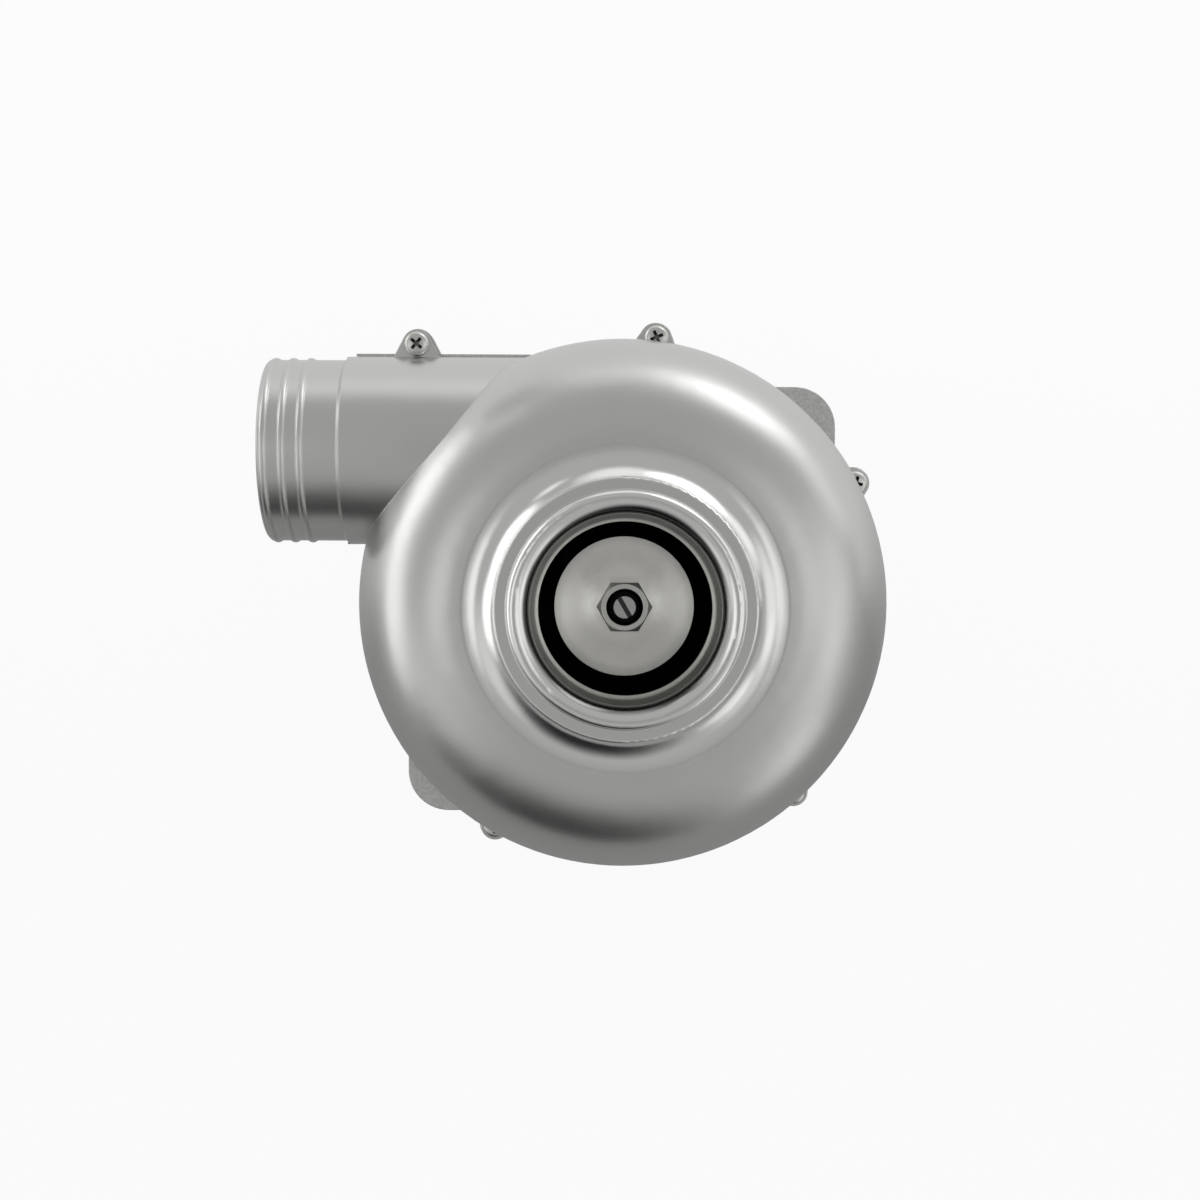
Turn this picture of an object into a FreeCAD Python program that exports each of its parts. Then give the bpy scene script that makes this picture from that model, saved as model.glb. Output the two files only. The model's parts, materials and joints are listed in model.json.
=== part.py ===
import FreeCAD, Part

import math
import os

import Sketcher
from FreeCAD import Vector

# Centrifugal blower: a cast volute with a tangential outlet pipe on a brushless motor.
# The origin is on the shaft axis at the back of the motor, +Z points out of the inlet,
# and the outlet pipe points along -X. All sizes are in millimetres.

SIZES = {
    # Casing
    "casing_radius": 45.0,
    "casing_wall": 2.2,
    "overall_height": 80.0,
    "volute_depth": 38.4,
    "gasket_thickness": 0.4,
    "dome_flat": 0.4,
    "dome_skirt": 3.8,
    "rear_round": 12.0,
    # Inlet collar
    "inlet_radius": 14.15,
    "nozzle_wall": 1.2,
    "nozzle_reach": 2.6,
    "throat_length": 0.4,
    "lip_width": 5.1,
    "lip_round": 1.25,
    "mouth_round": 2.6,
    "lip_rise": 2.0,
    "collar_width": 2.1,
    "collar_rise": 2.7,
    "collar_edge": 0.4,
    "collar_fillet": 6.5,
    # Outlet pipe
    "pipe_inset": 2.9,
    "pipe_radius": 16.1,
    "spigot_step": 0.6,
    "spigot_wall": 1.4,
    "outlet_reach": 60.6,
    "spigot_length": 13.1,
    "shoulder_slope": 0.5,
    "spigot_lead": 0.3,
    "hose_rib_start": 1.1,
    "hose_rib_pitch": 3.0,
    "hose_rib_half_width": 0.6,
    "hose_rib_round": 0.7,
    "pipe_root": 12.0,
    "flange_width": 0.6,
    "flange_thickness": 1.5,
    "flange_inset": 1.5,
    "flange_end": 16.0,
    # Screw ears on the seam
    "top_ear_angle": 83.0,
    "top_ear_offset": 0.8,
    "right_ear_angle": 27.5,
    "right_ear_offset": 0.0,
    "lower_right_ear_angle": -47.7,
    "lower_right_ear_offset": -0.7,
    "lower_left_ear_angle": -119.5,
    "lower_left_ear_offset": -0.5,
    "pipe_ear_inset": 12.1,
    "pipe_ear_rise": 2.1,
    "ear_tip_radius": 2.5,
    "ear_foot_width": 9.2,
    "ear_foot_depth": 3.4,
    "front_ear_thickness": 1.8,
    "rear_ear_thickness": 4.0,
    "rear_ear_margin": 0.3,
    # Mounting ears
    "mount_inset": 7.0,
    "mount_corner_radius": 7.2,
    "mount_ear_depth": 14.0,
    "mount_ear_thickness": 7.0,
    "mount_hole_radius": 1.65,
    "mount_hole_depth": 5.5,
    # Screws
    "casing_screw_radius": 1.25,
    "casing_screw_head_radius": 2.1,
    "casing_screw_head_height": 1.4,
    "casing_screw_length": 5.6,
    "screw_seat_room": 0.5,
    "screw_pad_wall": 1.0,
    "motor_screw_radius": 1.5,
    "motor_screw_head_radius": 2.75,
    "motor_screw_length": 6.0,
    "screw_clearance": 0.15,
    "thread_gap": 0.03,
    # Motor housing and end cap
    "housing_radius": 25.0,
    "housing_wall": 3.5,
    "housing_front_wall": 4.4,
    "cooling_fin_height": 1.8,
    "cooling_fin_half_width": 0.6,
    "cooling_fin_spacing": 11.0,
    "housing_boss_radius": 3.3,
    "housing_screw_inset": 0.4,
    "motor_screw_inset": 2.0,
    "register_radius": 15.0,
    "register_height": 1.6,
    "end_cap_thickness": 4.5,
    "end_cap_lip": 1.4,
    "end_cap_lip_wall": 1.6,
    "end_screw_length": 9.0,
    "end_screw_sink": 2.2,
    "bearing_boss_wall": 2.6,
    "seat_gap": 0.02,
    "shaft_pocket_radius": 6.0,
    "shaft_pocket_floor": 1.2,
    # Bearings
    "bearing_bore_radius": 3.0,
    "bearing_outer_radius": 9.5,
    "bearing_width": 6.0,
    "ball_radius": 1.75,
    "ball_count": 7,
    "ball_circle": 6.25,
    "ball_gap": 0.02,
    "race_land": 1.35,
    "cage_half_width": 0.5,
    "cage_back": 2.4,
    "cage_front": 0.9,
    "cage_pocket_gap": 0.08,
    "shield_thickness": 0.25,
    "shield_inset": 0.1,
    "shield_gap": 0.15,
    "rear_bearing_height": 3.6,
    "front_bearing_recess": 3.0,
    "preload_washer_thickness": 0.4,
    "preload_washer_rise": 0.8,
    # Stator
    "stator_height": 13.4,
    "stator_head_room": 3.5,
    "air_gap": 0.6,
    "back_iron": 3.0,
    "tooth_width": 4.5,
    "tooth_count": 6,
    "tooth_tip": 1.4,
    "tooth_tip_angle": 23.0,
    "insulator_thickness": 1.0,
    "insulator_margin": 0.4,
    "coil_gap": 0.05,
    "coil_width": 2.0,
    # Sensor board
    "board_height": 8.2,
    "board_thickness": 1.4,
    "board_margin": 1.9,
    "board_screw_inset": 2.8,
    "board_screw_radius": 1.0,
    "board_post_radius": 2.0,
    "hall_count": 3,
    "hall_width": 4.0,
    "hall_depth": 1.5,
    "hall_rise": 1.1,
    # Rotor
    "shaft_radius": 3.0,
    "shaft_body_radius": 4.2,
    "shaft_foot": 2.2,
    "shaft_thread_radius": 2.5,
    "shaft_pilot_radius": 1.95,
    "shaft_pilot_depth": 1.6,
    "shaft_tip_rise": 0.3,
    "shaft_tip_chamfer": 0.15,
    "slot_width": 0.7,
    "slot_depth": 1.0,
    "slot_angle": -60.0,
    "rotor_core_radius": 7.4,
    "magnet_radius": 9.9,
    "sleeve_wall": 0.4,
    "balance_ring_height": 1.4,
    "ring_groove_depth": 0.5,
    "ring_thickness": 0.6,
    "ring_outer_radius": 4.6,
    "ring_gap_angle": 70.0,
    # Impeller
    "volute_width": 9.8,
    "impeller_clearance": 1.7,
    "backplate_thickness": 1.6,
    "hub_radius": 8.0,
    "hub_round": 12.0,
    "hub_drop": 10.9,
    "bush_radius": 5.4,
    "bush_gap": 0.02,
    "sleeve_radius": 4.6,
    "outlet_width": 7.4,
    "shroud_rim": 2.75,
    "shroud_thickness": 1.2,
    "shroud_eye_gap": 0.6,
    "shroud_neck_drop": 1.5,
    "blade_count": 9,
    "blade_drop": 0.3,
    "blade_centre_share": 0.606,
    "blade_bend_share": 0.515,
    "blade_thickness": 1.2,
    "blade_start_angle": 50.0,
    "blade_end_angle": 132.0,
    "blade_fit": 0.05,
    "washer_gap": 2.55,
    "washer_rim_thickness": 0.8,
    "washer_under_radius": 6.8,
    "washer_under_rise": 0.5,
    "washer_crown": 0.6,
    "nut_across_flats": 8.0,
    "nut_height": 3.0,
    "nut_crown_inset": 0.2,
    "nut_chamfer": 0.7,
    "nut_hole_chamfer": 0.55,
    # Cable inlet
    "grommet_radius": 2.6,
    "grommet_flange": 1.2,
    "grommet_flange_thickness": 1.2,
    "grommet_hole": 1.6,
    "cable_flat_depth": 2.4,
}

doc = FreeCAD.newDocument("centrifugal_blower")
sheet = doc.addObject("Spreadsheet::Sheet", "Sizes")
for row, (alias, number) in enumerate(SIZES.items(), start=1):
    sheet.set(f"A{row}", alias)
    sheet.set(f"B{row}", str(number))
    sheet.setAlias(f"B{row}", alias)
doc.recompute()


class Size:
    """A length or angle that holds its number and the sheet formula that gives it."""

    def __init__(self, number, formula):
        self.number = float(number)
        self.formula = formula

    def __add__(self, other):
        other = size(other)
        return Size(self.number + other.number, f"({self.formula} + {other.formula})")

    def __sub__(self, other):
        other = size(other)
        return Size(self.number - other.number, f"({self.formula} - {other.formula})")

    def __mul__(self, other):
        other = size(other)
        return Size(self.number * other.number, f"({self.formula} * {other.formula})")

    def __truediv__(self, other):
        other = size(other)
        return Size(self.number / other.number, f"({self.formula} / {other.formula})")

    def __neg__(self):
        return Size(-self.number, f"(0 - {self.formula})")

    def __radd__(self, other):
        return size(other) + self

    def __rsub__(self, other):
        return size(other) - self

    def __rmul__(self, other):
        return size(other) * self


def size(value):
    """A Size from a bare number, or the Size itself."""
    return value if isinstance(value, Size) else Size(value, repr(float(value)))


def cosine(angle):
    angle = size(angle)
    return Size(math.cos(math.radians(angle.number)), f"cos({angle.formula})")


def sine(angle):
    angle = size(angle)
    return Size(math.sin(math.radians(angle.number)), f"sin({angle.formula})")


def root(value):
    return Size(math.sqrt(value.number), f"sqrt({value.formula})")


def least(one, other):
    """The smaller of two Sizes."""
    return Size(min(one.number, other.number), f"min({one.formula}; {other.formula})")


class Sheet:
    """The sheet's cells as Sizes, by alias."""

    def __getattr__(self, alias):
        return Size(SIZES[alias], f"Sizes.{alias}")


S = Sheet()

# Casing sizes that follow from the driving sizes
DOME_TOP = S.overall_height - S.lip_rise - S.collar_rise
FLOOR = DOME_TOP - S.volute_depth
FLOOR_INSIDE = FLOOR + S.casing_wall
SPLIT = FLOOR + S.pipe_radius
SEAM_TOP = SPLIT + S.gasket_thickness / 2
SEAM_BOTTOM = SPLIT - S.gasket_thickness / 2
INNER_RADIUS = S.casing_radius - S.casing_wall
LIP_RADIUS = S.inlet_radius + S.lip_width
MOUTH_RADIUS = LIP_RADIUS - S.lip_round - S.mouth_round
MOUTH_HEIGHT = S.overall_height - S.mouth_round
COLLAR_RADIUS = LIP_RADIUS + S.collar_width
COLLAR_WALL = S.collar_rise - S.collar_edge
COLLAR_FOOT = COLLAR_RADIUS + root(COLLAR_WALL * (2 * S.collar_fillet - COLLAR_WALL))
ROOM_ACROSS = S.casing_radius - COLLAR_FOOT - S.dome_flat
ROOM_UPWARDS = DOME_TOP - SEAM_TOP - S.dome_skirt
DOME_ROUND = least(ROOM_ACROSS, ROOM_UPWARDS)
NOZZLE_END = DOME_TOP - S.casing_wall - S.nozzle_reach
THROAT_TOP = NOZZLE_END + S.nozzle_reach + S.throat_length
PIPE_OFFSET = S.casing_radius - S.pipe_radius - S.pipe_inset
PIPE_BORE = S.pipe_radius - S.casing_wall
SPIGOT_RADIUS = S.pipe_radius - S.spigot_step
SPIGOT_BORE = SPIGOT_RADIUS - S.spigot_wall
SHOULDER = S.outlet_reach - S.spigot_length
MOUNT_HALF_WIDTH = S.casing_radius - S.mount_inset
MOUNT_HOLE_PLACE = MOUNT_HALF_WIDTH - S.mount_corner_radius
EAR_TOP = SEAM_TOP + S.front_ear_thickness
SCREW_SEAT_TOP = EAR_TOP + S.casing_screw_head_height + S.screw_seat_room

# Motor sizes that follow
HOUSING_BORE = S.housing_radius - S.housing_wall
HOUSING_SCREW_CIRCLE = S.housing_radius - S.housing_screw_inset
HOUSING_WALL_FACE = FLOOR - S.housing_front_wall
MOTOR_SCREW_CIRCLE = HOUSING_BORE - S.motor_screw_inset
CABLE_FLAT = S.housing_radius - S.cable_flat_depth
FRONT_BEARING_HEIGHT = HOUSING_WALL_FACE - S.front_bearing_recess
FRONT_BEARING_TOP = FRONT_BEARING_HEIGHT + S.bearing_width
REAR_BEARING_TOP = S.rear_bearing_height + S.bearing_width
BEARING_BOSS_RADIUS = S.bearing_outer_radius + S.bearing_boss_wall
STATOR_TOP = FRONT_BEARING_HEIGHT - S.stator_head_room
STATOR_BORE = S.magnet_radius + S.sleeve_wall + S.air_gap
SLOT_RADIUS = HOUSING_BORE - S.back_iron
TIP_RADIUS = STATOR_BORE + S.tooth_tip
BOARD_RADIUS = HOUSING_BORE - S.board_margin
BOARD_SCREW_CIRCLE = BOARD_RADIUS - S.board_screw_inset
BOARD_TOP = S.board_height + S.board_thickness
GROMMET_HEIGHT = S.end_cap_thickness + S.grommet_radius + S.grommet_flange + S.screw_clearance

# Impeller sizes that follow
IMPELLER_RADIUS = INNER_RADIUS - S.volute_width
BACKPLATE = FLOOR_INSIDE + S.impeller_clearance
BLADE_FLOOR = BACKPLATE + S.backplate_thickness
SHROUD_EDGE = BLADE_FLOOR + S.outlet_width
SHROUD_EYE = S.inlet_radius + S.nozzle_wall + S.shroud_eye_gap
SHROUD_ROUND = IMPELLER_RADIUS - SHROUD_EYE - S.shroud_rim
SHROUD_NECK_TOP = DOME_TOP - S.casing_wall - S.shroud_neck_drop
BLADE_CENTRE = IMPELLER_RADIUS * S.blade_centre_share
BLADE_BEND = IMPELLER_RADIUS * S.blade_bend_share
HUB_TOP = DOME_TOP - S.hub_drop
WASHER_RADIUS = S.inlet_radius - S.washer_gap
WASHER_RIM = HUB_TOP + S.washer_under_rise
WASHER_FACE = WASHER_RIM + S.washer_rim_thickness + S.washer_crown
NUT_TOP = WASHER_FACE + S.nut_height
SHAFT_TIP = NUT_TOP + S.shaft_tip_rise
PILOT_FOOT = NUT_TOP - S.shaft_pilot_depth


def bind(item, name, value):
    """Bind one property or constraint to a sheet formula."""
    item.setExpression(name, size(value).formula)


def new_body(label):
    body = doc.addObject("PartDesign::Body", label)
    body.Label = label
    body.AllowCompound = True
    return body


def origin_part(body, role):
    return [item for item in body.Origin.OriginFeatures if item.Role == role][0]


def new_sketch(body, plane, name, along=(0, 0, 0), turn=0):
    """An empty sketch on an origin plane, moved along the world axes and turned in its plane."""
    sketch = body.newObject("Sketcher::SketchObject", f"{body.Name}_{name}")
    sketch.AttachmentSupport = (origin_part(body, plane), [""])
    sketch.MapMode = "FlatFace"
    local = {
        "XY_Plane": (along[0], along[1], along[2]),
        "XZ_Plane": (along[0], along[2], -size(along[1])),
        "YZ_Plane": (along[1], along[2], along[0]),
    }[plane]
    for axis, value in zip("xyz", local):
        bind(sketch, f"AttachmentOffset.Base.{axis}", value)
    bind(sketch, "AttachmentOffset.Rotation.Angle", turn)
    return sketch


def fix_point(sketch, edge, end, x, y):
    """Fix one end of an edge at its place in the sketch."""
    for kind, axis, value in (("DistanceX", -2, size(x)), ("DistanceY", -1, size(y))):
        if value.formula == "0.0":
            sketch.addConstraint(Sketcher.Constraint("PointOnObject", edge, end, axis))
        else:
            index = sketch.addConstraint(Sketcher.Constraint(kind, -1, 1, edge, end, value.number))
            bind(sketch, f"Constraints[{index}]", value)


def fix_radius(sketch, edge, value):
    index = sketch.addConstraint(Sketcher.Constraint("Radius", edge, value.number))
    bind(sketch, f"Constraints[{index}]", value)


def add_arc(sketch, start, end, bend):
    """An arc from start to end: a positive bend radius turns left, a negative one turns right."""
    chord = end - start
    left = Vector(-chord.y, chord.x, 0).normalize()
    rise = math.sqrt(max(bend**2 - (chord.Length / 2) ** 2, 0))
    centre = (start + end) / 2 + left * math.copysign(rise, bend)
    first, last = (start, end) if bend > 0 else (end, start)
    angles = [math.atan2(point.y - centre.y, point.x - centre.x) for point in (first, last)]
    circle = Part.Circle(centre, Vector(0, 0, 1), abs(bend))
    return sketch.addGeometry(Part.ArcOfCircle(circle, *angles))


def add_outline(sketch, corners):
    """A closed outline. A corner is (x, y), or (x, y, bend) where an arc leads to the next one."""
    places = [Vector(size(corner[0]).number, size(corner[1]).number, 0) for corner in corners]
    ends = []
    for number, corner in enumerate(corners):
        start, end = places[number], places[(number + 1) % len(places)]
        if len(corner) == 2:
            edge = sketch.addGeometry(Part.LineSegment(start, end))
            ends.append((edge, 1, 2))
            continue
        bend = size(corner[2])
        edge = add_arc(sketch, start, end, bend.number)
        ends.append((edge, 1, 2) if bend.number > 0 else (edge, 2, 1))
        fix_radius(sketch, edge, bend if bend.number > 0 else -bend)
    for number, corner in enumerate(corners):
        edge, first, last = ends[number]
        following = ends[(number + 1) % len(ends)]
        sketch.addConstraint(Sketcher.Constraint("Coincident", edge, last, following[0], following[1]))
        fix_point(sketch, edge, first, corner[0], corner[1])


def add_circle(sketch, radius, x=0, y=0):
    radius, x, y = size(radius), size(x), size(y)
    middle = Vector(x.number, y.number, 0)
    edge = sketch.addGeometry(Part.Circle(middle, Vector(0, 0, 1), radius.number))
    fix_point(sketch, edge, 3, x, y)
    fix_radius(sketch, edge, radius)


def box_corners(left, right, low, high):
    return [(left, low), (right, low), (right, high), (left, high)]


def half_disc(radius):
    """Outline of the half disc that turns into a ball about the sketch's vertical axis."""
    return [(0, -radius, radius), (radius, 0, radius), (0, radius)]


def feature(body, kind, sketch, name):
    item = body.newObject(f"PartDesign::{kind}", f"{body.Name}_{name}")
    item.Profile = sketch
    body.Tip = item
    return item


def turn(body, name, corners, cut=False):
    """Revolve an outline of (radius, height) corners round the shaft axis, to add or to cut."""
    sketch = new_sketch(body, "XZ_Plane", f"{name}_outline")
    add_outline(sketch, corners)
    item = feature(body, "Groove" if cut else "Revolution", sketch, name)
    item.ReferenceAxis = (sketch, ["V_Axis"])
    item.Angle = 360
    return item


def raise_sketch(body, sketch, name, height):
    """Pad a sketch upwards by a height."""
    item = feature(body, "Pad", sketch, name)
    bind(item, "Length", height)
    return item


def cut_sketch(body, sketch, name, height, along_normal=True):
    """Cut a sketch out of the body, along its normal or against it."""
    item = feature(body, "Pocket", sketch, name)
    item.Reversed = along_normal
    bind(item, "Length", height)
    return item


def layer(body, name, bottom, top, outlines=(), circles=(), cut=False, angle=0):
    """Add or cut flat shapes between two heights."""
    sketch = new_sketch(body, "XY_Plane", f"{name}_outline", along=(0, 0, bottom), turn=angle)
    for corners in outlines:
        add_outline(sketch, corners)
    for circle in circles:
        add_circle(sketch, *circle)
    work = cut_sketch if cut else raise_sketch
    return work(body, sketch, name, size(top) - bottom)


def repeat_round(body, items, name, count):
    """Repeat features round the shaft axis."""
    pattern = body.newObject("PartDesign::PolarPattern", f"{body.Name}_{name}")
    pattern.Originals = items
    pattern.Axis = (origin_part(body, "Z_Axis"), [""])
    pattern.Angle = 360
    if isinstance(count, Size):
        bind(pattern, "Occurrences", count)
    else:
        pattern.Occurrences = count
    body.Tip = pattern
    return pattern


def on_circle(radius, angle):
    return radius * cosine(angle), radius * sine(angle)


def copies(label, master, places):
    """A group of separate solids: the master copied to (x, y, z) places."""
    links = []
    for number, place in enumerate(places, start=1):
        link = doc.addObject("App::Link", f"{label}_{number}")
        link.LinkedObject = master
        for axis, value in zip("xyz", place):
            bind(link, f"Placement.Base.{axis}", value)
        links.append(link)
    group = doc.addObject("Part::Compound", label)
    group.Links = links
    group.Label = label
    return group


# Casing

def round_ears():
    """Distance from the axis and direction of every ear on the round casing."""
    places = ("top", "right", "lower_right", "lower_left")
    sizes = [(getattr(S, f"{place}_ear_offset"), getattr(S, f"{place}_ear_angle")) for place in places]
    return [(S.casing_radius + offset, angle) for offset, angle in sizes]


def screw_ears():
    """Centre and direction of every screw ear."""
    ears = [(*on_circle(circle, angle), angle) for circle, angle in round_ears()]
    place, side = SHOULDER - S.pipe_ear_inset, PIPE_OFFSET + S.pipe_radius
    ears.append((-place, side + S.pipe_ear_rise, 90))
    return ears


def add_screw_pads(body, bottom, top):
    """Thicker wall inside the round casing, where a screw stands close to the wall's face."""
    half = S.casing_screw_head_radius + S.screw_clearance + S.screw_pad_wall
    for number, (circle, angle) in enumerate(round_ears(), start=1):
        pad = box_corners(circle - half, S.casing_radius - S.casing_wall / 2, -half, half)
        layer(body, f"pad_{number}", bottom, top, outlines=[pad], angle=angle)


def add_ear(body, number, ear, bottom, top, tip_radius):
    """A triangular ear: two straight flanks that run tangent to a round tip."""
    x, y, angle = ear
    sketch = new_sketch(body, "XY_Plane", f"ear_{number}_outline", along=(x, y, bottom), turn=angle)
    half_foot = S.ear_foot_width / 2 + (tip_radius - S.ear_tip_radius)
    depth, half, tip = S.ear_foot_depth.number, half_foot.number, tip_radius.number
    touch = math.atan2(half, -depth) - math.acos(tip / math.hypot(depth, half))
    start, end = (Vector(tip * math.cos(a), tip * math.sin(a), 0) for a in (-touch, touch))
    corners = (Vector(-depth, -half, 0), start, end, Vector(-depth, half, 0))
    low = sketch.addGeometry(Part.LineSegment(corners[0], start))
    circle = Part.Circle(Vector(0, 0, 0), Vector(0, 0, 1), tip)
    arc = sketch.addGeometry(Part.ArcOfCircle(circle, -touch, touch))
    high = sketch.addGeometry(Part.LineSegment(end, corners[3]))
    foot = sketch.addGeometry(Part.LineSegment(corners[3], corners[0]))
    sketch.addConstraint(Sketcher.Constraint("Coincident", arc, 3, -1, 1))
    fix_radius(sketch, arc, tip_radius)
    sketch.addConstraint(Sketcher.Constraint("Tangent", low, 2, arc, 1))
    sketch.addConstraint(Sketcher.Constraint("Tangent", arc, 2, high, 1))
    sketch.addConstraint(Sketcher.Constraint("Coincident", high, 2, foot, 1))
    sketch.addConstraint(Sketcher.Constraint("Coincident", foot, 2, low, 1))
    fix_point(sketch, low, 1, -S.ear_foot_depth, -half_foot)
    fix_point(sketch, high, 2, -S.ear_foot_depth, half_foot)
    raise_sketch(body, sketch, f"ear_{number}", top - bottom)


def add_ears(body, bottom, top, tip_radius):
    for number, ear in enumerate(screw_ears(), start=1):
        add_ear(body, number, ear, bottom, top, tip_radius)


def ear_circles(radius):
    return [(radius, x, y) for x, y, _ in screw_ears()]


def add_half_pipe(body, upwards):
    """Half of the outlet pipe with its hose ribs, revolved half a turn about its own axis."""
    sketch = new_sketch(body, "XY_Plane", "pipe_outline", along=(0, PIPE_OFFSET, SPLIT))
    corners = [(-S.outlet_reach, 0), (-S.outlet_reach, SPIGOT_RADIUS - S.spigot_lead)]
    corners.append((S.spigot_lead - S.outlet_reach, SPIGOT_RADIUS))
    for number in range(3):
        middle = S.hose_rib_start + number * S.hose_rib_pitch - S.outlet_reach
        corners.append((middle - S.hose_rib_half_width, SPIGOT_RADIUS, -S.hose_rib_round))
        corners.append((middle + S.hose_rib_half_width, SPIGOT_RADIUS))
    corners.append((-SHOULDER, SPIGOT_RADIUS))
    corners.append((S.shoulder_slope - SHOULDER, S.pipe_radius))
    corners.append((-S.pipe_root, S.pipe_radius))
    corners.append((-S.pipe_root, 0))
    add_outline(sketch, corners)
    item = feature(body, "Revolution", sketch, "pipe")
    item.ReferenceAxis = (sketch, ["H_Axis"])
    item.Angle = 180
    item.Reversed = not upwards


def cut_pipe_bore(body):
    """The air way of the pipe: a wider socket in the spigot, then the bore into the volute."""
    sketch = new_sketch(body, "XY_Plane", "bore_outline", along=(0, PIPE_OFFSET, SPLIT))
    inner_end = S.pipe_root + S.casing_wall
    corners = [
        (-S.outlet_reach, 0),
        (-S.outlet_reach, SPIGOT_BORE),
        (-SHOULDER, SPIGOT_BORE),
        (-SHOULDER, PIPE_BORE),
        (-inner_end, PIPE_BORE),
        (-inner_end, 0),
    ]
    add_outline(sketch, corners)
    item = feature(body, "Groove", sketch, "bore")
    item.ReferenceAxis = (sketch, ["H_Axis"])
    item.Angle = 360


def trim_at_seam(body, bottom, top):
    """Clear the gasket's half of the seam."""
    layer(body, "seam", bottom, top, circles=[(S.outlet_reach * 2,)], cut=True)


def front_casing():
    body = new_body("front_casing")
    centre = S.casing_radius - DOME_ROUND
    crown = S.overall_height - S.lip_round
    ring = DOME_TOP + S.collar_rise
    turn(body, "dome", [
        (0, SEAM_TOP),
        (S.casing_radius, SEAM_TOP),
        (S.casing_radius, DOME_TOP - DOME_ROUND, DOME_ROUND),
        (centre, DOME_TOP),
        (COLLAR_FOOT, DOME_TOP, -S.collar_fillet),
        (COLLAR_RADIUS, DOME_TOP + COLLAR_WALL, S.collar_edge),
        (COLLAR_RADIUS - S.collar_edge, ring),
        (LIP_RADIUS, ring),
        (LIP_RADIUS, crown, S.lip_round),
        (LIP_RADIUS - S.lip_round, S.overall_height, S.mouth_round),
        (MOUTH_RADIUS, MOUTH_HEIGHT),
        (0, MOUTH_HEIGHT),
    ])
    add_half_pipe(body, upwards=True)
    trim_at_seam(body, SPLIT, SEAM_TOP)
    add_ears(body, SEAM_TOP, EAR_TOP, S.ear_tip_radius)
    nozzle = S.inlet_radius + S.nozzle_wall
    turn(body, "volute", [
        (0, SEAM_TOP),
        (INNER_RADIUS, SEAM_TOP),
        (INNER_RADIUS, DOME_TOP - DOME_ROUND, DOME_ROUND - S.casing_wall),
        (centre, DOME_TOP - S.casing_wall),
        (nozzle, DOME_TOP - S.casing_wall),
        (nozzle, NOZZLE_END),
        (S.inlet_radius, NOZZLE_END),
        (S.inlet_radius, THROAT_TOP),
        (MOUTH_RADIUS, MOUTH_HEIGHT),
        (0, MOUTH_HEIGHT),
    ], cut=True)
    cut_pipe_bore(body)
    add_screw_pads(body, SEAM_TOP, SCREW_SEAT_TOP + S.screw_pad_wall)
    holes = ear_circles(S.casing_screw_radius + S.screw_clearance)
    layer(body, "screw_holes", SEAM_TOP, EAR_TOP, circles=holes, cut=True)
    seats = ear_circles(S.casing_screw_head_radius + S.screw_clearance)
    layer(body, "screw_seats", EAR_TOP, SCREW_SEAT_TOP, circles=seats, cut=True)
    return body


def mount_corner(sign):
    """Outline of one square mounting ear with a rounded corner, at +X+Y or at -X-Y."""
    edge, start = sign * MOUNT_HALF_WIDTH, sign * MOUNT_HOLE_PLACE
    inset = edge - sign * S.mount_ear_depth
    return [(inset, inset), (edge, inset), (edge, start, S.mount_corner_radius), (start, edge), (inset, edge)]


def rear_casing():
    body = new_body("rear_casing")
    flat = S.casing_radius - S.rear_round
    turn(body, "shell", [
        (0, FLOOR),
        (flat, FLOOR, S.rear_round),
        (S.casing_radius, FLOOR + S.rear_round),
        (S.casing_radius, SEAM_BOTTOM),
        (0, SEAM_BOTTOM),
    ])
    add_half_pipe(body, upwards=False)
    trim_at_seam(body, SEAM_BOTTOM, SPLIT)
    ear_tip = S.ear_tip_radius + S.rear_ear_margin
    add_ears(body, SEAM_BOTTOM - S.rear_ear_thickness, SEAM_BOTTOM, ear_tip)
    side = PIPE_OFFSET + S.pipe_radius
    flange = box_corners(S.flange_inset - SHOULDER, -S.flange_end, PIPE_OFFSET, side + S.flange_width)
    layer(body, "flange", SEAM_BOTTOM - S.flange_thickness, SEAM_BOTTOM, outlines=[flange])
    ears = [mount_corner(sign) for sign in (1, -1)]
    layer(body, "mount_ears", FLOOR, FLOOR + S.mount_ear_thickness, outlines=ears)
    turn(body, "volute", [
        (0, FLOOR_INSIDE),
        (flat, FLOOR_INSIDE, S.rear_round - S.casing_wall),
        (INNER_RADIUS, FLOOR + S.rear_round),
        (INNER_RADIUS, SEAM_BOTTOM),
        (0, SEAM_BOTTOM),
    ], cut=True)
    cut_pipe_bore(body)
    add_screw_pads(body, SEAM_BOTTOM - S.rear_ear_thickness, SEAM_BOTTOM)
    place = MOUNT_HOLE_PLACE
    mount_holes = [(S.mount_hole_radius, place, place), (S.mount_hole_radius, -place, -place)]
    layer(body, "mount_holes", FLOOR, FLOOR + S.mount_hole_depth, circles=mount_holes, cut=True)
    holes = ear_circles(S.casing_screw_radius + S.thread_gap)
    layer(body, "screw_holes", SEAM_BOTTOM - S.rear_ear_thickness, SEAM_BOTTOM, circles=holes, cut=True)
    register = [(S.register_radius + S.seat_gap,)]
    layer(body, "register", FLOOR, FLOOR_INSIDE, circles=register, cut=True)
    sinks = motor_screw_sink(body)
    repeat_round(body, [sinks], "motor_screw_holes", 4)
    return body


def motor_screw_places():
    return [(*on_circle(MOTOR_SCREW_CIRCLE, angle), FLOOR_INSIDE) for angle in range(0, 360, 90)]


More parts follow.
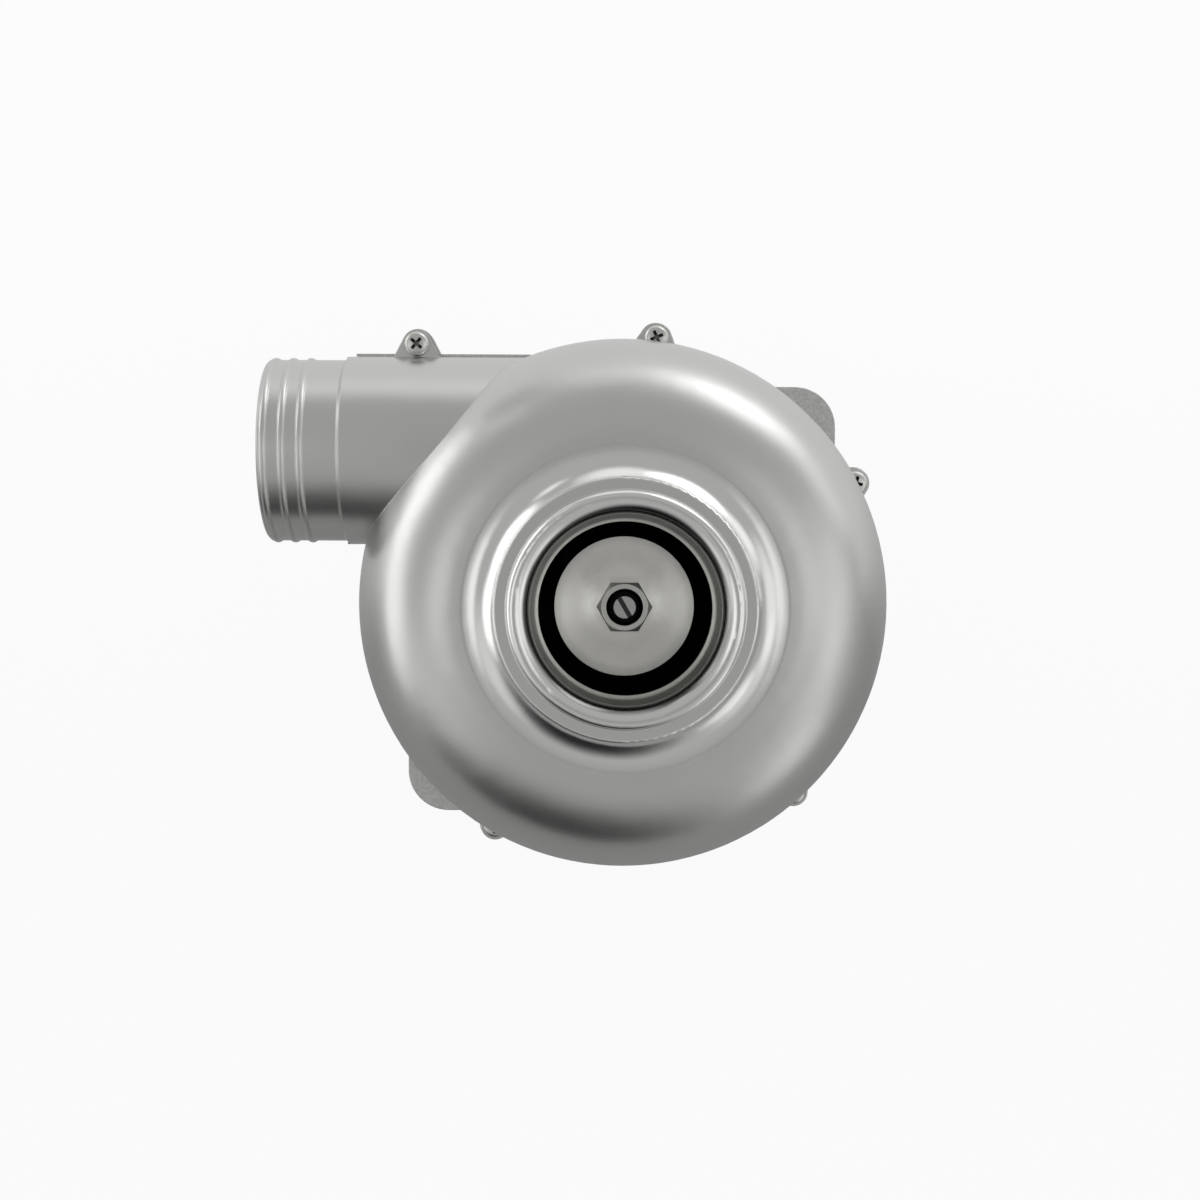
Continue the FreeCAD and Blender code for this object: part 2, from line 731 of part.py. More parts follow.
def motor_screw_sink(body):
    """One countersunk hole for a motor screw, sunk from the inside of the floor."""
    hole = S.motor_screw_radius + S.screw_clearance
    head = S.motor_screw_head_radius + S.screw_clearance
    sketch = new_sketch(body, "XZ_Plane", "sink_outline", along=(MOTOR_SCREW_CIRCLE, 0, 0))
    add_outline(sketch, [(0, FLOOR), (hole, FLOOR), (hole, FLOOR_INSIDE - (head - hole)),
                         (head, FLOOR_INSIDE), (0, FLOOR_INSIDE)])
    item = feature(body, "Groove", sketch, "sink")
    item.ReferenceAxis = (sketch, ["V_Axis"])
    item.Angle = 360
    return item


def casing_gasket():
    body = new_body("casing_gasket")
    top = SEAM_TOP
    layer(body, "disc", SEAM_BOTTOM, top, circles=[(S.casing_radius,)])
    low, high = PIPE_OFFSET - SPIGOT_RADIUS, PIPE_OFFSET + SPIGOT_RADIUS
    spigot = box_corners(-S.outlet_reach, -S.pipe_root, low, high)
    layer(body, "spigot", SEAM_BOTTOM, top, outlines=[spigot])
    low, high = PIPE_OFFSET - S.pipe_radius, PIPE_OFFSET + S.pipe_radius
    pipe = box_corners(-SHOULDER, -S.pipe_root, low, high)
    layer(body, "pipe", SEAM_BOTTOM, top, outlines=[pipe])
    add_ears(body, SEAM_BOTTOM, top, S.ear_tip_radius)
    layer(body, "volute", SEAM_BOTTOM, top, circles=[(INNER_RADIUS,)], cut=True)
    add_screw_pads(body, SEAM_BOTTOM, top)
    low, high = PIPE_OFFSET - SPIGOT_BORE, PIPE_OFFSET + SPIGOT_BORE
    socket = box_corners(-S.outlet_reach, -SHOULDER, low, high)
    layer(body, "socket", SEAM_BOTTOM, top, outlines=[socket], cut=True)
    low, high = PIPE_OFFSET - PIPE_BORE, PIPE_OFFSET + PIPE_BORE
    bore = box_corners(-SHOULDER, -S.pipe_root, low, high)
    layer(body, "bore", SEAM_BOTTOM, top, outlines=[bore], cut=True)
    holes = ear_circles(S.casing_screw_radius + S.screw_clearance)
    layer(body, "screw_holes", SEAM_BOTTOM, top, circles=holes, cut=True)
    return body


def pan_screw(label, radius, head_radius, head_height, length):
    """A pan-head screw that stands on its seat at z = 0 and points down."""
    body = new_body(label)
    edge = head_height / 2
    turn(body, "screw", [
        (0, -length),
        (radius, -length),
        (radius, 0),
        (head_radius, 0),
        (head_radius, edge),
        (head_radius - edge, head_height),
        (0, head_height),
    ])
    return body


def casing_screws():
    master = pan_screw("casing_screw_master", S.casing_screw_radius, S.casing_screw_head_radius,
                       S.casing_screw_head_height, S.casing_screw_length)
    places = [(x, y, EAR_TOP) for x, y, _ in screw_ears()]
    return copies("casing_screws", master, places)


def motor_screws():
    master = new_body("motor_screw_master")
    radius, head = S.motor_screw_radius, S.motor_screw_head_radius
    turn(master, "screw", [
        (0, -S.motor_screw_length),
        (radius, -S.motor_screw_length),
        (radius, radius - head),
        (head, 0),
        (0, 0),
    ])
    return copies("motor_screws", master, motor_screw_places())


# Motor housing and end cap

def boss_places():
    return [on_circle(HOUSING_SCREW_CIRCLE, angle) for angle in (45, 135, 225, 315)]


def motor_housing():
    body = new_body("motor_housing")
    bottom, wall = S.end_cap_thickness, HOUSING_WALL_FACE
    layer(body, "barrel", bottom, FLOOR, circles=[(S.housing_radius,)])
    fins = []
    for number, step in enumerate((-2, -1, 0, 1, 2)):
        half = S.cooling_fin_half_width
        corners = box_corners(HOUSING_BORE + 1, S.housing_radius + S.cooling_fin_height, -half, half)
        fins.append(layer(body, f"fin_{number}", bottom, FLOOR, outlines=[corners],
                          angle=step * S.cooling_fin_spacing))
    repeat_round(body, fins, "fins", 4)
    boss = layer(body, "boss", bottom, FLOOR, circles=[(S.housing_boss_radius, *boss_places()[0])])
    repeat_round(body, [boss], "bosses", 4)
    layer(body, "register", FLOOR, FLOOR + S.register_height, circles=[(S.register_radius,)])
    layer(body, "bore", bottom, wall, circles=[(HOUSING_BORE,)], cut=True)
    layer(body, "bearing_boss", FRONT_BEARING_HEIGHT, wall, circles=[(BEARING_BOSS_RADIUS,)])
    seat = S.bearing_outer_radius + S.seat_gap
    layer(body, "bearing_seat", FRONT_BEARING_HEIGHT, FRONT_BEARING_TOP, circles=[(seat,)], cut=True)
    opening = S.sleeve_radius + S.screw_clearance * 4
    layer(body, "shaft_hole", FRONT_BEARING_TOP, FLOOR + S.register_height, circles=[(opening,)], cut=True)
    screw = S.motor_screw_radius + S.thread_gap
    hole = layer(body, "motor_hole", wall, FLOOR, circles=[(screw, MOTOR_SCREW_CIRCLE, 0)], cut=True)
    repeat_round(body, [hole], "motor_holes", 4)
    deep = bottom + S.end_screw_length
    hole = layer(body, "end_hole", bottom, deep, circles=[(screw, *boss_places()[0])], cut=True)
    repeat_round(body, [hole], "end_holes", 4)
    cable_way(body)
    return body


def cable_way(body):
    """A flat on the -Y side of the barrel with the hole for the cable grommet."""
    reach = S.housing_radius + S.cooling_fin_height * 2
    half = S.grommet_radius + S.grommet_flange + S.screw_clearance * 2
    top = GROMMET_HEIGHT + half
    flat = box_corners(-half, half, -reach, -CABLE_FLAT)
    layer(body, "cable_flat", S.end_cap_thickness, top, outlines=[flat], cut=True)
    sketch = new_sketch(body, "XZ_Plane", "cable_hole_outline", along=(0, -reach, 0))
    add_circle(sketch, S.grommet_radius + S.seat_gap, 0, GROMMET_HEIGHT)
    cut_sketch(body, sketch, "cable_hole", S.housing_radius, along_normal=False)


def cable_grommet():
    """A rubber grommet in the barrel's wall, with its lips on both sides and the cable's hole."""
    body = new_body("cable_grommet")
    sketch = new_sketch(body, "XY_Plane", "grommet_outline", along=(0, 0, GROMMET_HEIGHT))
    lip = S.grommet_radius + S.grommet_flange
    inside = root(HOUSING_BORE * HOUSING_BORE - lip * lip)
    corners = [
        (S.grommet_hole, -CABLE_FLAT - S.grommet_flange_thickness),
        (lip, -CABLE_FLAT - S.grommet_flange_thickness),
        (lip, -CABLE_FLAT),
        (S.grommet_radius, -CABLE_FLAT),
        (S.grommet_radius, -inside),
        (S.grommet_hole, -inside),
    ]
    add_outline(sketch, corners)
    item = feature(body, "Revolution", sketch, "grommet")
    item.ReferenceAxis = (sketch, ["V_Axis"])
    item.Angle = 360
    return body


def end_cap():
    body = new_body("end_cap")
    top = S.end_cap_thickness
    layer(body, "plate", 0, top, circles=[(S.housing_radius,)])
    boss = layer(body, "boss", 0, top, circles=[(S.housing_boss_radius, *boss_places()[0])])
    repeat_round(body, [boss], "bosses", 4)
    lip = HOUSING_BORE - S.seat_gap
    turn(body, "lip", [
        (lip - S.end_cap_lip_wall, top),
        (lip, top),
        (lip, top + S.end_cap_lip),
        (lip - S.end_cap_lip_wall, top + S.end_cap_lip),
    ])
    boss_top = S.board_height - S.seat_gap
    layer(body, "bearing_boss", top, boss_top, circles=[(BEARING_BOSS_RADIUS,)])
    seat = S.bearing_outer_radius + S.seat_gap
    floor = S.rear_bearing_height - S.preload_washer_rise
    layer(body, "bearing_seat", floor, boss_top, circles=[(seat,)], cut=True)
    layer(body, "shaft_pocket", S.shaft_pocket_floor, floor, circles=[(S.shaft_pocket_radius,)], cut=True)
    place = boss_places()[0]
    hole = S.motor_screw_radius + S.screw_clearance
    head = S.motor_screw_head_radius + S.screw_clearance
    shank = layer(body, "screw_hole", 0, top, circles=[(hole, *place)], cut=True)
    sink = layer(body, "screw_sink", 0, S.end_screw_sink, circles=[(head, *place)], cut=True)
    repeat_round(body, [shank, sink], "screw_holes", 4)
    add_board_posts(body)
    grommet_notch(body)
    return body


def board_places():
    return [on_circle(BOARD_SCREW_CIRCLE, angle) for angle in (30, 150, 270)]


def add_board_posts(body):
    top, post = S.board_height - S.seat_gap, S.board_post_radius
    posts = [(post, x, y) for x, y in board_places()]
    layer(body, "board_posts", S.end_cap_thickness, top, circles=posts)
    holes = [(S.board_screw_radius + S.thread_gap, x, y) for x, y in board_places()]
    layer(body, "board_holes", S.end_cap_thickness, top, circles=holes, cut=True)


def grommet_notch(body):
    """A notch in the cap's lip, so that the cable's wires pass it."""
    half = S.grommet_radius + S.grommet_flange
    notch = box_corners(-half, half, -HOUSING_BORE, -BOARD_RADIUS)
    top = S.end_cap_thickness
    layer(body, "cable_notch", top, top + S.end_cap_lip, outlines=[notch], cut=True)


def end_cap_screws():
    """Four screws that stand upside down in the back of the end cap."""
    master = new_body("end_cap_screw_master")
    radius, head = S.motor_screw_radius, S.motor_screw_head_radius
    height = S.end_screw_sink - S.screw_clearance
    turn(master, "screw", [
        (0, -height),
        (head - height / 3, -height),
        (head, -height * 2 / 3),
        (head, 0),
        (radius, 0),
        (radius, S.end_screw_length),
        (0, S.end_screw_length),
    ])
    return copies("end_cap_screws", master, [(x, y, S.end_screw_sink) for x, y in boss_places()])


# Stator

def tooth_corners(width, inner, outer):
    return box_corners(inner, outer, -width / 2, width / 2)


def sector_corners(inner, outer, angle):
    """A ring's sector about +X, from minus the angle to plus the angle."""
    low, high = [on_circle(radius, -angle) for radius in (inner, outer)]
    top, end = [on_circle(radius, angle) for radius in (outer, inner)]
    return [low, (*high, outer), top, (*end, -inner)]


def toothed_ring(label, bottom, top, rim, slot, tooth, tip_wall, tip_angle, tip_top):
    body = new_body(label)
    layer(body, "rim", bottom, top, circles=[(rim,), (slot,)])
    middle = STATOR_BORE + tip_wall / 2
    arm = layer(body, "tooth", bottom, top, outlines=[tooth_corners(tooth, middle, slot + 1)])
    sector = sector_corners(STATOR_BORE, STATOR_BORE + tip_wall, tip_angle)
    tip = layer(body, "tip", bottom, tip_top, outlines=[sector])
    repeat_round(body, [arm, tip], "teeth", S.tooth_count)
    return body


def stator_core():
    rim = HOUSING_BORE - S.seat_gap
    return toothed_ring("stator_core", S.stator_height, STATOR_TOP, rim, SLOT_RADIUS,
                        S.tooth_width, S.tooth_tip, S.tooth_tip_angle, STATOR_TOP)


def insulator(label, bottom, top):
    """An end insulator: a thin copy of the core that lifts the coils off its edges."""
    rim = HOUSING_BORE - 2 * S.insulator_margin
    width = S.tooth_width + 2 * S.insulator_margin
    slot = SLOT_RADIUS - S.insulator_margin
    return toothed_ring(label, bottom, top, rim, slot, width, S.tooth_tip, S.tooth_tip_angle, top)


def stator_coils():
    """One coil round each tooth, wound as a rounded rectangle."""
    body = new_body("stator_coils")
    half = S.tooth_width / 2 + S.insulator_margin + S.coil_gap
    reach, width = SLOT_RADIUS - S.insulator_margin - S.coil_gap, half + S.coil_width
    inner, outer = TIP_RADIUS + S.coil_gap * 4, root(reach * reach - width * width)
    sketch = new_sketch(body, "YZ_Plane", "coil_outline", along=(inner, 0, 0))
    low = S.stator_height - S.insulator_thickness - S.coil_gap
    high = STATOR_TOP + S.insulator_thickness + S.coil_gap
    bend = S.coil_width
    add_outline(sketch, box_corners(-half, half, low, high))
    add_outline(sketch, [
        (-half - bend, low, bend), (-half, low - bend), (half, low - bend, bend), (half + bend, low),
        (half + bend, high, bend), (half, high + bend), (-half, high + bend, bend), (-half - bend, high),
    ])
    coil = raise_sketch(body, sketch, "coil", outer - inner)
    repeat_round(body, [coil], "coils", S.tooth_count)
    return body


def sensor_board():
    body = new_body("sensor_board")
    bottom, top = S.board_height, BOARD_TOP
    hole = (BEARING_BOSS_RADIUS - S.bearing_boss_wall + S.seat_gap * 5,)
    layer(body, "board", bottom, top, circles=[(BOARD_RADIUS,), hole])
    holes = [(S.board_screw_radius + S.screw_clearance, x, y) for x, y in board_places()]
    layer(body, "screw_holes", bottom, top, circles=holes, cut=True)
    return body


def board_screws():
    head = S.board_screw_radius * 1.8
    master = pan_screw("board_screw_master", S.board_screw_radius, head,
                       S.board_screw_radius, S.board_thickness * 2.5)
    return copies("board_screws", master, [(x, y, BOARD_TOP) for x, y in board_places()])


def hall_sensors():
    """Three position sensors on the board, below the slots."""
    body = new_body("hall_sensors")
    inner = S.bearing_outer_radius + S.seat_gap * 10
    half = S.hall_width / 2
    corners = box_corners(inner, inner + S.hall_depth, -half, half)
    chip = layer(body, "sensor", BOARD_TOP, BOARD_TOP + S.hall_rise, outlines=[corners])
    repeat_round(body, [chip], "sensors", S.hall_count)
    return body


# Bearings

def bearing_parts(prefix, bottom):
    """All pieces of one deep-groove ball bearing that stands at a height."""
    middle = bottom + S.bearing_width / 2
    groove = S.ball_radius + S.ball_gap
    land = root(groove * groove - S.race_land * S.race_land)
    inner_land = S.ball_circle - land
    outer_land = S.ball_circle + land
    top = bottom + S.bearing_width
    half = S.race_land

    inner = new_body(f"{prefix}_bearing_inner_ring")
    turn(inner, "ring", [
        (S.bearing_bore_radius, bottom), (inner_land, bottom), (inner_land, middle - half, -groove),
        (inner_land, middle + half), (inner_land, top), (S.bearing_bore_radius, top),
    ])

    outer = new_body(f"{prefix}_bearing_outer_ring")
    turn(outer, "ring", [
        (S.bearing_outer_radius, bottom), (S.bearing_outer_radius, top), (outer_land, top),
        (outer_land, middle + half, -groove), (outer_land, middle - half), (outer_land, bottom),
    ])

    balls = new_body(f"{prefix}_bearing_balls")
    sketch = new_sketch(balls, "XZ_Plane", "ball_outline", along=(S.ball_circle, 0, middle))
    add_outline(sketch, half_disc(S.ball_radius))
    ball = feature(balls, "Revolution", sketch, "ball")
    ball.ReferenceAxis = (sketch, ["V_Axis"])
    ball.Angle = 360
    repeat_round(balls, [ball], "balls", S.ball_count)

    cage = new_body(f"{prefix}_bearing_cage")
    low, high = middle - S.cage_back, middle + S.cage_front
    near, far = S.ball_circle - S.cage_half_width, S.ball_circle + S.cage_half_width
    turn(cage, "ring", [(near, low), (far, low), (far, high), (near, high)])
    sketch = new_sketch(cage, "XZ_Plane", "pocket_outline", along=(S.ball_circle, 0, middle))
    add_outline(sketch, half_disc(S.ball_radius + S.cage_pocket_gap))
    pocket = feature(cage, "Groove", sketch, "pocket")
    pocket.ReferenceAxis = (sketch, ["V_Axis"])
    pocket.Angle = 360
    repeat_round(cage, [pocket], "pockets", S.ball_count)

    shields = new_body(f"{prefix}_bearing_shields")
    rim, eye = outer_land - S.seat_gap, inner_land + S.shield_gap
    front_shield = top - S.shield_inset - S.shield_thickness
    for name, low in (("back", bottom + S.shield_inset), ("front", front_shield)):
        layer(shields, name, low, low + S.shield_thickness, circles=[(rim,), (eye,)])
    return [inner, outer, balls, cage, shields]


def preload_washer():
    """A coned spring washer that pushes the rear bearing's outer ring forwards."""
    body = new_body("preload_washer")
    outer = S.bearing_outer_radius - S.seat_gap * 5
    inner = S.ball_circle + S.ball_radius / 2
    low = S.rear_bearing_height - S.preload_washer_rise
    high = S.rear_bearing_height
    thickness = S.preload_washer_thickness
    turn(body, "washer", [
        (inner, low), (outer, high - thickness), (outer, high), (inner, low + thickness),
    ])
    return body


# Rotor

def shaft():
    body = new_body("shaft")
    turn(body, "shaft", [
        (0, S.shaft_foot),
        (S.shaft_radius, S.shaft_foot),
        (S.shaft_radius, REAR_BEARING_TOP),
        (S.shaft_body_radius, REAR_BEARING_TOP),
        (S.shaft_body_radius, FRONT_BEARING_HEIGHT),
        (S.shaft_radius, FRONT_BEARING_HEIGHT),
        (S.shaft_radius, HUB_TOP - S.seat_gap),
        (S.shaft_thread_radius, WASHER_RIM - S.seat_gap),
        (S.shaft_thread_radius, PILOT_FOOT),
        (S.shaft_pilot_radius, PILOT_FOOT),
        (S.shaft_pilot_radius, SHAFT_TIP - S.shaft_tip_chamfer),
        (S.shaft_pilot_radius - S.shaft_tip_chamfer, SHAFT_TIP),
        (0, SHAFT_TIP),
    ])
    low = S.rear_bearing_height - S.ring_thickness - S.seat_gap
    edge = S.shaft_radius - S.ring_groove_depth
    turn(body, "ring_groove", [
        (edge, low), (S.shaft_radius, low),
        (S.shaft_radius, S.rear_bearing_height), (edge, S.rear_bearing_height),
    ], cut=True)
    half = S.slot_width / 2
    slot = box_corners(-S.shaft_radius, S.shaft_radius, -half, half)
    layer(body, "slot", SHAFT_TIP - S.slot_depth, SHAFT_TIP, outlines=[slot], cut=True,
          angle=S.slot_angle)
    return body


def ring_body(label, inner, outer, bottom, top):
    body = new_body(label)
    turn(body, "ring", [(inner, bottom), (outer, bottom), (outer, top), (inner, top)])
    return body


def retaining_ring():
    """A snap ring in the shaft's rear groove, open on one side."""
    body = new_body("retaining_ring")
    low = S.rear_bearing_height - S.ring_thickness
    inner = S.shaft_radius - S.ring_groove_depth + S.seat_gap
    turn(body, "ring", [
        (inner, low), (S.ring_outer_radius, low),
        (S.ring_outer_radius, S.rear_bearing_height - S.seat_gap),
        (inner, S.rear_bearing_height - S.seat_gap),
    ])
    half = S.ring_outer_radius * sine(S.ring_gap_angle / 2)
    gap = box_corners(0, S.ring_outer_radius + 1, -half, half)
    layer(body, "gap", low, S.rear_bearing_height, outlines=[gap], cut=True)
    return body


def rotor_rings():
    core = S.rotor_core_radius
    low, high = S.stator_height, STATOR_TOP
    rise = S.balance_ring_height
    bore = S.shaft_body_radius + S.seat_gap
    rim = S.magnet_radius
    return [
        ring_body("rotor_core", bore, core, low, high),
        ring_body("rotor_magnet", core + S.seat_gap, rim, low, high),
        ring_body("magnet_sleeve", rim + S.seat_gap, rim + S.sleeve_wall, low, high),
        ring_body("rear_balance_ring", bore, rim, low - rise, low),
        ring_body("front_balance_ring", bore, rim, high, high + rise),
        ring_body("spacer_sleeve", S.shaft_radius + S.seat_gap, S.sleeve_radius,
                  FRONT_BEARING_TOP, BACKPLATE),
        ring_body("impeller_bush", S.shaft_radius + S.seat_gap, S.bush_radius, BACKPLATE, HUB_TOP),
    ]


def shroud_curve(offset):
    """The shroud's curve from the eye to the rim, moved outwards by an offset."""
    eye = SHROUD_EYE + offset
    bend = SHROUD_ROUND - offset
    centre = SHROUD_EDGE + SHROUD_ROUND
    return eye, bend, centre


def impeller():
    """Back plate, flowing hub and backward-curved blades that follow the shroud."""
    body = new_body("impeller")
    turn(body, "hub", [
        (S.bush_radius + S.bush_gap, BACKPLATE),
        (IMPELLER_RADIUS, BACKPLATE),
        (IMPELLER_RADIUS, BLADE_FLOOR),
        (S.hub_radius + S.hub_round, BLADE_FLOOR, -S.hub_round),
        (S.hub_radius, BLADE_FLOOR + S.hub_round),
        (S.hub_radius, HUB_TOP),
        (S.bush_radius + S.bush_gap, HUB_TOP),
    ])
    blade = layer(body, "blade", BLADE_FLOOR, HUB_TOP - S.blade_drop, outlines=[blade_corners()])
    repeat_round(body, [blade], "blades", S.blade_count)
    eye, bend, centre = shroud_curve(-S.blade_fit)
    edge = SHROUD_EDGE - S.blade_fit
    clear = IMPELLER_RADIUS * 1.5
    turn(body, "blade_tops", [
        (eye, SHROUD_NECK_TOP),
        (eye, centre, bend),
        (eye + bend, edge),
        (IMPELLER_RADIUS, edge),
        (IMPELLER_RADIUS, BACKPLATE),
        (clear, BACKPLATE),
        (clear, SHROUD_NECK_TOP),
    ], cut=True)
    return body


def blade_corners():
    """One blade between two arcs about a centre that stands off the shaft axis."""
    corners = []
    half = S.blade_thickness / 2
    for bend, angles in ((BLADE_BEND + half, (S.blade_start_angle, S.blade_end_angle)),
                         (BLADE_BEND - half, (S.blade_end_angle, S.blade_start_angle))):
        for angle in angles:
            corners.append((BLADE_CENTRE - bend * cosine(angle), bend * sine(angle)))
    corners[0] = (*corners[0], -(BLADE_BEND + half))
    corners[2] = (*corners[2], BLADE_BEND - half)
    return corners


def impeller_shroud():
    body = new_body("impeller_shroud")
    eye, bend, centre = shroud_curve(size(0))
    outer_eye, outer_bend, _ = shroud_curve(S.shroud_thickness)
    turn(body, "shroud", [
        (eye, SHROUD_NECK_TOP),
        (eye, centre, bend),
        (eye + bend, SHROUD_EDGE),
        (IMPELLER_RADIUS, SHROUD_EDGE),
        (IMPELLER_RADIUS, SHROUD_EDGE + S.shroud_thickness),
        (outer_eye + outer_bend, SHROUD_EDGE + S.shroud_thickness, -outer_bend),
        (outer_eye, centre),
        (outer_eye, SHROUD_NECK_TOP),
    ])
    return body


def hub_washer():
    """The turned disc under the nut: flat foot, thin rim and a slightly coned face."""
    body = new_body("hub_washer")
    bore = S.shaft_radius + S.seat_gap
    turn(body, "washer", [
        (bore, HUB_TOP),
        (S.washer_under_radius, HUB_TOP),
        (S.washer_under_radius + S.washer_under_rise, WASHER_RIM),
        (WASHER_RADIUS, WASHER_RIM),
        (WASHER_RADIUS, WASHER_RIM + S.washer_rim_thickness),
        (S.nut_across_flats / 2, WASHER_FACE),
        (bore, WASHER_FACE),
    ])
    return body


def impeller_nut():
    """A thin hexagon nut, chamfered outside and in its thread."""
    body = new_body("impeller_nut")
    top = NUT_TOP
    corner = S.nut_across_flats / 2 / cosine(30)
    corners = [on_circle(corner, angle) for angle in range(0, 360, 60)]
    layer(body, "hexagon", WASHER_FACE, top, outlines=[corners])
    flat = S.nut_across_flats / 2
    turn(body, "chamfer", [
        (flat - S.nut_crown_inset, top), (corner + 1, top), (corner + 1, top - S.nut_chamfer * 1.5),
        (corner, top - S.nut_chamfer),
    ], cut=True)
    bore = S.shaft_thread_radius + S.thread_gap
    turn(body, "thread", [
        (0, WASHER_FACE), (bore, WASHER_FACE), (bore, top - S.nut_hole_chamfer),
        (bore + S.nut_hole_chamfer, top), (0, top),
    ], cut=True)
    return body


def build():
    """Make every piece and return them in one list."""
    pieces = [front_casing(), rear_casing(), casing_gasket(), casing_screws(), motor_screws()]
    pieces += [motor_housing(), end_cap(), end_cap_screws(), cable_grommet()]
    pieces += [stator_core(), stator_coils()]
    pieces.append(insulator("rear_insulator", S.stator_height - S.insulator_thickness, S.stator_height))
    pieces.append(insulator("front_insulator", STATOR_TOP, STATOR_TOP + S.insulator_thickness))
    pieces += [sensor_board(), board_screws(), hall_sensors()]
    pieces += bearing_parts("rear", S.rear_bearing_height)
    pieces += bearing_parts("front", FRONT_BEARING_HEIGHT)
    pieces += [preload_washer(), shaft(), retaining_ring()]
    pieces += rotor_rings()
    pieces += [impeller(), impeller_shroud(), hub_washer(), impeller_nut()]
    return pieces


def write(pieces):
    """Check every object, then write one STEP file for each piece."""
    doc.recompute()
    failed = [item.Name for item in doc.Objects if {"Invalid", "Error"} & set(item.State)]
    if failed:
        raise RuntimeError(f"These objects failed: {failed}")
    for piece in pieces:
        if piece.Shape.isNull() or not piece.Shape.isValid():
            raise RuntimeError(f"{piece.Label}: its shape isn't valid")
    os.makedirs("parts", exist_ok=True)
    for piece in pieces:
        piece.Shape.exportStep(f"parts/{piece.Label}.step")


write(build())
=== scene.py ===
import json
import math

import bmesh
import bpy
from mathutils import Euler, Matrix, Vector


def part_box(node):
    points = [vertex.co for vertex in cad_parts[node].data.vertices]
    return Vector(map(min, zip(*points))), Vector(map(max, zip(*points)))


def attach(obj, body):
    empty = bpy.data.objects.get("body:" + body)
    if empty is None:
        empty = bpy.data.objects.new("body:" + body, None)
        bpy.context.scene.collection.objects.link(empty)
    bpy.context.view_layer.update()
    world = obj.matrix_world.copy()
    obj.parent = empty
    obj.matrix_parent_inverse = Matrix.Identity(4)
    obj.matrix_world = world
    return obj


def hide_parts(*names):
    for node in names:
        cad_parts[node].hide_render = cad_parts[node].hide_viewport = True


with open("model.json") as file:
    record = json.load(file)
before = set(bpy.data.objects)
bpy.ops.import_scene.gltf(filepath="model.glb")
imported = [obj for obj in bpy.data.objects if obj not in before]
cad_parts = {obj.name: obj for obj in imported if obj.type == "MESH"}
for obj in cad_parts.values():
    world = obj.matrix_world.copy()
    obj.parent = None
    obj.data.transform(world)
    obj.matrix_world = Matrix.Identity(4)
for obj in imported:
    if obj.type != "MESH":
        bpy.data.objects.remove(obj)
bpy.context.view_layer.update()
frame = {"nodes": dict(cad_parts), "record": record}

NODES = frame["nodes"]
MM = 0.001
# Near-black painted as shade deep in threads, holes and driver slots.
PAINTED_SHADE_BLACK = (0.012, 0.012, 0.012)


# Shader expressions

class Value:
    """A socket of a material's node tree that can be written in sums like a number."""

    def __init__(self, tree, socket):
        self.tree = tree
        self.socket = socket

    def node(self, kind, settings=(), output=0, **inputs):
        """Add a node: its settings first, then the values or links of its sockets."""
        item = self.tree.nodes.new(kind)
        for name, setting in dict(settings).items():
            setattr(item, name, setting)
        for name, value in inputs.items():
            plug(self.tree, find_input(item, name), value)
        return Value(self.tree, item.outputs[output])

    def math(self, operation, *values):
        item = self.tree.nodes.new("ShaderNodeMath")
        item.operation = operation
        for socket, value in zip(item.inputs, values):
            plug(self.tree, socket, value)
        return Value(self.tree, item.outputs[0])

    def __add__(self, other):
        return self.math("ADD", self, other)

    def __radd__(self, other):
        return self.math("ADD", other, self)

    def __sub__(self, other):
        return self.math("SUBTRACT", self, other)

    def __rsub__(self, other):
        return self.math("SUBTRACT", other, self)

    def __mul__(self, other):
        return self.math("MULTIPLY", self, other)

    def __rmul__(self, other):
        return self.math("MULTIPLY", other, self)

    def clamp(self, low=0.0, high=1.0):
        return self.math("MINIMUM", self.math("MAXIMUM", self, low), high)

    def band(self, low, high):
        """0 below low, 1 above high, smooth between them."""
        return self.node("ShaderNodeMapRange", {"interpolation_type": "SMOOTHSTEP"},
                         Value=self, From_Min=low, From_Max=high)


def find_input(item, name):
    """A socket by its number or by its name, with _ for a space."""
    if name.isdigit():
        return item.inputs[int(name)]
    return item.inputs[name.replace("_", " ")]


def plug(tree, socket, value):
    """Link a Value to a socket, or set the socket to a number or colour."""
    if isinstance(value, Value):
        tree.links.new(value.socket, socket)
    elif isinstance(value, tuple) and socket.type == "RGBA":
        socket.default_value = (*value, 1.0)
    else:
        socket.default_value = value


